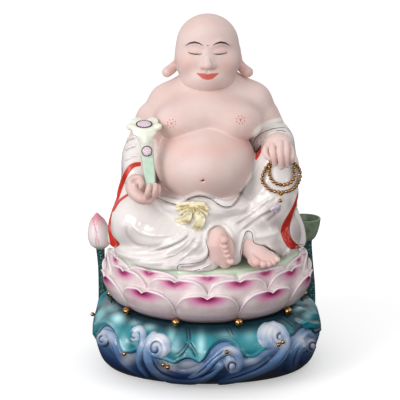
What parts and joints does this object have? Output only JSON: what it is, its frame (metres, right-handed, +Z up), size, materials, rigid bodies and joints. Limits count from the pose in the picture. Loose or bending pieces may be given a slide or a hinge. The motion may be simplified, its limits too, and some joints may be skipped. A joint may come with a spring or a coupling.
{
  "type": "budai figure",
  "caption": "Seated laughing monk in painted porcelain with a ruyi sceptre and prayer beads, on a lotus throne over a leaf and wave base.",
  "frame": {"origin": "centre of the flat underside of the wave base", "axes": "+Z up, the figure faces -Y, +X is the viewer's right"},
  "size_m": [0.2662, 0.253, 0.3943],
  "materials": {
    "bisque": "matte pale pink bisque skin, with a glazed off-white robe lined in orange-red",
    "celadon": "pale green celadon glaze",
    "petal_glaze": "white glaze shaded to magenta at the petal tips",
    "sea_glaze": "teal leaf glaze over white to navy waves",
    "leaf_glaze": "pale green glaze on a dark stem",
    "gilt": "polished gold"
  },
  "bodies": {
    "root": {"budai": "bisque", "ruyi_sceptre": "celadon", "prayer_beads": "gilt", "lotus_throne": "petal_glaze", "wave_base": "sea_glaze", "lotus_bud": "petal_glaze", "lotus_leaf_cup": "leaf_glaze", "gilt_bead_01": "gilt", "gilt_bead_02": "gilt", "gilt_bead_03": "gilt", "gilt_bead_04": "gilt", "gilt_bead_05": "gilt", "gilt_bead_06": "gilt", "gilt_bead_07": "gilt", "gilt_bead_08": "gilt", "gilt_bead_09": "gilt", "gilt_bead_10": "gilt", "wave_drop_01": "gilt", "wave_drop_02": "gilt", "wave_drop_03": "gilt", "wave_drop_04": "gilt", "wave_drop_05": "gilt", "wave_drop_06": "gilt", "wave_drop_07": "gilt"}
  },
  "joints": []
}
